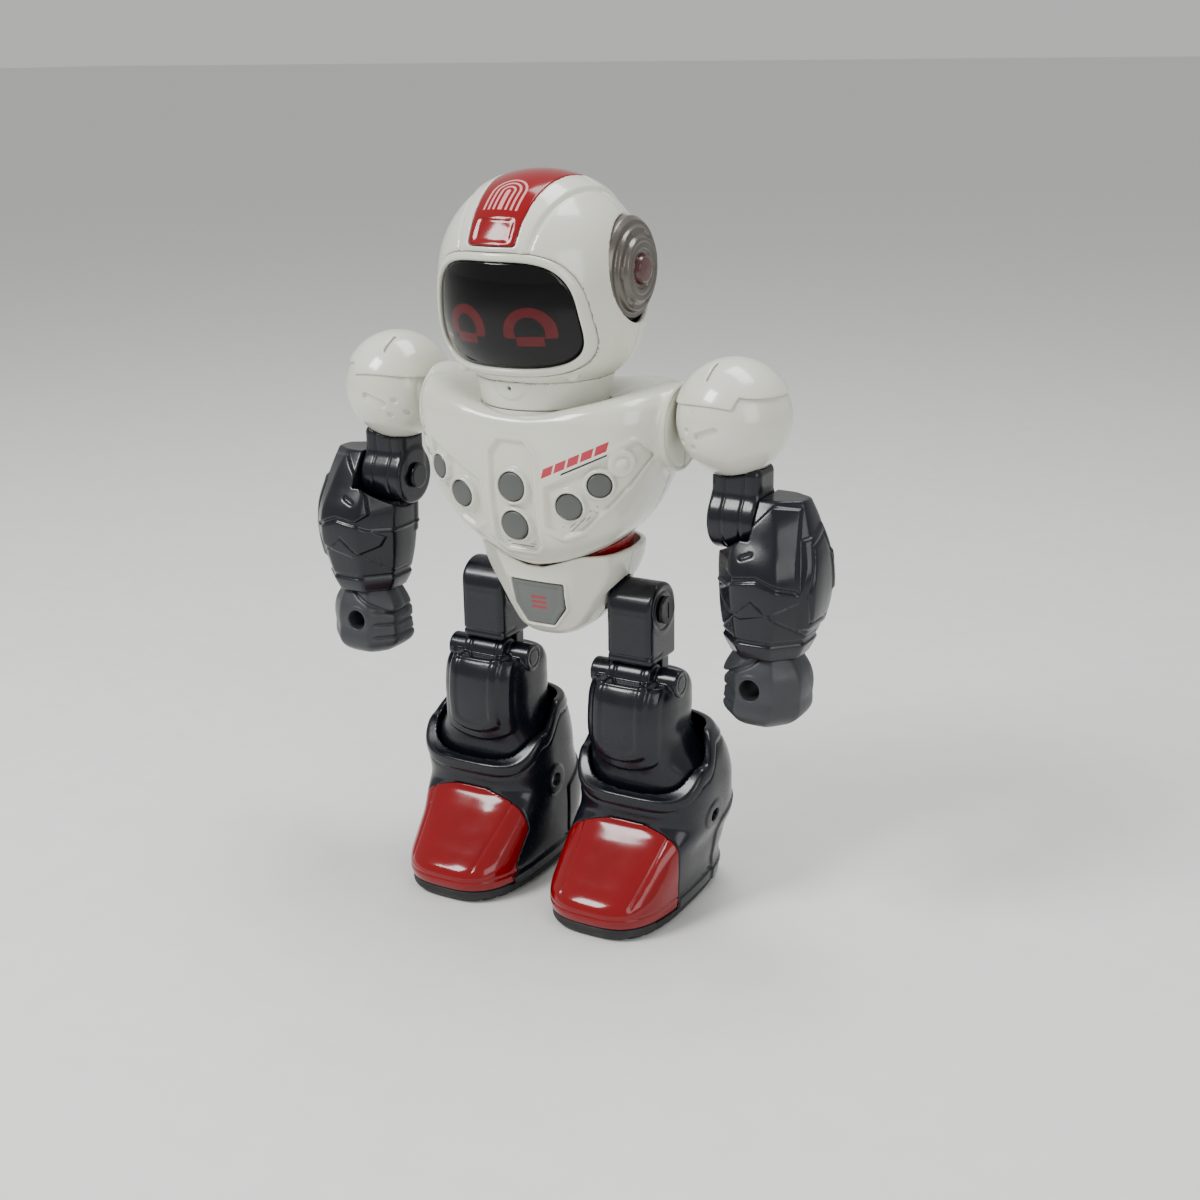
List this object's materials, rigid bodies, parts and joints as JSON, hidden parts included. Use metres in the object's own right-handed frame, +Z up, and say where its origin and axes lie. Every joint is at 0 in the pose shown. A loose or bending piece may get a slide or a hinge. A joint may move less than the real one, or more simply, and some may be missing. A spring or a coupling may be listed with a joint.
{
  "type": "toy robot",
  "caption": "Standing toy robot with a round helmet, smoked visor, button chest, swinging arms and legs, gripping fists and rolling boots.",
  "frame": {"origin": "centre of the bounding box at floor level, under the body", "axes": "+Z up, the robot faces -Y, its left hand is on +X"},
  "size_m": [0.2058, 0.0802, 0.2665],
  "materials": {
    "white_shell": "glossy warm white ABS",
    "red_gloss": "glossy deep red plastic",
    "navy_gloss": "glossy blue-black plastic",
    "hand_satin": "satin dark grey plastic",
    "button_grey": "satin grey-green plastic",
    "ear_metallic": "metallic taupe lacquer",
    "visor_smoke": "smoked glossy plastic",
    "eye_red": "dark red light guide",
    "inner_black": "matte black plastic",
    "sole_rubber": "soft black rubber",
    "steel": "plated steel",
    "board_green": "green solder mask",
    "motor_can": "plated motor can",
    "cell_wrap": "printed cell sleeve without text"
  },
  "bodies": {
    "torso": {"torso_front": "white_shell", "torso_rear": "white_shell", "neck_collar": "white_shell", "waist_band": "red_gloss", "pelvis_front": "white_shell", "pelvis_rear": "white_shell", "belt_badge": "button_grey", "hip_chassis": "inner_black", "hip_shaft": "steel", "gearbox": "inner_black", "drive_motor": "motor_can", "main_board": "board_green", "speaker": "inner_black", "battery_box": "inner_black", "batteries": "cell_wrap", "torso_screws": "steel", "shoulder_axles": "steel"},
    "head": {"helmet_front": "white_shell", "helmet_rear": "white_shell", "crest_panel": "red_gloss", "visor": "visor_smoke", "visor_bezel": "white_shell", "eye_display": "inner_black", "eye_lights": "eye_red", "ear_left": "ear_metallic", "ear_right": "ear_metallic", "head_base": "white_shell"},
    "battery_door": {"battery_door": "white_shell", "door_screw": "steel"},
    "power_switch": {"power_switch": "inner_black"},
    "button_upper": {"button_upper": "button_grey"},
    "button_lower": {"button_lower": "button_grey"},
    "button_inner_left": {"button_inner_left": "button_grey"},
    "button_inner_right": {"button_inner_right": "button_grey"},
    "button_outer_left": {"button_outer_left": "button_grey"},
    "button_outer_right": {"button_outer_right": "button_grey"},
    "arm_left": {"shoulder_shell_left": "white_shell", "shoulder_cap_left": "white_shell", "upper_arm_left": "navy_gloss"},
    "forearm_left": {"forearm_left": "navy_gloss"},
    "hand_left": {"hand_left": "hand_satin"},
    "leg_left": {"thigh_left": "navy_gloss", "shin_left": "navy_gloss"},
    "foot_left": {"boot_left": "navy_gloss", "toe_cap_left": "red_gloss", "sole_left": "sole_rubber", "foot_pins_left": "steel"},
    "roller_left": {"roller_left": "sole_rubber"},
    "arm_right": {"shoulder_shell_right": "white_shell", "shoulder_cap_right": "white_shell", "upper_arm_right": "navy_gloss"},
    "forearm_right": {"forearm_right": "navy_gloss"},
    "hand_right": {"hand_right": "hand_satin"},
    "leg_right": {"thigh_right": "navy_gloss", "shin_right": "navy_gloss"},
    "foot_right": {"boot_right": "navy_gloss", "toe_cap_right": "red_gloss", "sole_right": "sole_rubber", "foot_pins_right": "steel"},
    "roller_right": {"roller_right": "sole_rubber"}
  },
  "joints": [
    {"name": "head_turn", "type": "hinge", "parent": "torso", "child": "head", "pos_m": [0, -0.005, 0.19], "axis": [0, 0, 1], "range_deg": [-45, 45]},
    {"name": "shoulder_left", "type": "hinge", "parent": "torso", "child": "arm_left", "pos_m": [0.057, 0.003, 0.186], "axis": [-1, 0, 0], "range_deg": [-45, 170]},
    {"name": "elbow_left", "type": "hinge", "parent": "arm_left", "child": "forearm_left", "pos_m": [0.072, 0.003, 0.152], "axis": [-1, 0, 0], "range_deg": [0, 70]},
    {"name": "wrist_left", "type": "hinge", "parent": "forearm_left", "child": "hand_left", "pos_m": [0.084, 0, 0.108], "axis": [0, 0, 1], "range_deg": [-90, 90]},
    {"name": "shoulder_right", "type": "hinge", "parent": "torso", "child": "arm_right", "pos_m": [-0.057, 0.003, 0.186], "axis": [-1, 0, 0], "range_deg": [-45, 170]},
    {"name": "elbow_right", "type": "hinge", "parent": "arm_right", "child": "forearm_right", "pos_m": [-0.072, 0.003, 0.152], "axis": [-1, 0, 0], "range_deg": [0, 70]},
    {"name": "wrist_right", "type": "hinge", "parent": "forearm_right", "child": "hand_right", "pos_m": [-0.084, 0, 0.108], "axis": [0, 0, 1], "range_deg": [-90, 90]},
    {"name": "hip_left", "type": "hinge", "parent": "torso", "child": "leg_left", "pos_m": [0.031, 0.006, 0.113], "axis": [-1, 0, 0], "range_deg": [-8, 8]},
    {"name": "hip_right", "type": "hinge", "parent": "torso", "child": "leg_right", "pos_m": [-0.031, 0.006, 0.113], "axis": [-1, 0, 0], "range_deg": [-8, 8]},
    {"name": "ankle_left", "type": "hinge", "parent": "leg_left", "child": "foot_left", "pos_m": [0.031, 0.008, 0.036], "axis": [-1, 0, 0], "range_deg": [-8, 8]},
    {"name": "roller_spin_left", "type": "hinge", "parent": "foot_left", "child": "roller_left", "pos_m": [0.031, -0.002, 0.005], "axis": [1, 0, 0], "continuous": true},
    {"name": "ankle_right", "type": "hinge", "parent": "leg_right", "child": "foot_right", "pos_m": [-0.031, 0.008, 0.036], "axis": [-1, 0, 0], "range_deg": [-8, 8]},
    {"name": "roller_spin_right", "type": "hinge", "parent": "foot_right", "child": "roller_right", "pos_m": [-0.031, -0.002, 0.005], "axis": [1, 0, 0], "continuous": true},
    {"name": "button_upper_press", "type": "slide", "parent": "torso", "child": "button_upper", "axis": [0, 1, 0], "range_m": [0, 0.001], "stiffness_N_per_m": 300},
    {"name": "button_lower_press", "type": "slide", "parent": "torso", "child": "button_lower", "axis": [0, 1, 0], "range_m": [0, 0.001], "stiffness_N_per_m": 300},
    {"name": "button_inner_left_press", "type": "slide", "parent": "torso", "child": "button_inner_left", "axis": [-0.309, 0.9511, 0], "range_m": [0, 0.001], "stiffness_N_per_m": 300},
    {"name": "button_inner_right_press", "type": "slide", "parent": "torso", "child": "button_inner_right", "axis": [0.309, 0.9511, 0], "range_m": [0, 0.001], "stiffness_N_per_m": 300},
    {"name": "button_outer_left_press", "type": "slide", "parent": "torso", "child": "button_outer_left", "axis": [-0.5299, 0.848, 0], "range_m": [0, 0.001], "stiffness_N_per_m": 300},
    {"name": "button_outer_right_press", "type": "slide", "parent": "torso", "child": "button_outer_right", "axis": [0.5299, 0.848, 0], "range_m": [0, 0.001], "stiffness_N_per_m": 300},
    {"name": "switch_slide", "type": "slide", "parent": "torso", "child": "power_switch", "axis": [1, 0, 0], "range_m": [0, 0.003]},
    {"name": "door_lift_off", "type": "slide", "parent": "torso", "child": "battery_door", "axis": [0, 1, 0], "range_m": [0, 0.03]}
  ],
  "couplings": [
    {"joint": "hip_right", "follows": "hip_left", "ratio": -1},
    {"joint": "ankle_left", "follows": "hip_left", "ratio": -1},
    {"joint": "ankle_right", "follows": "hip_left", "ratio": 1}
  ]
}
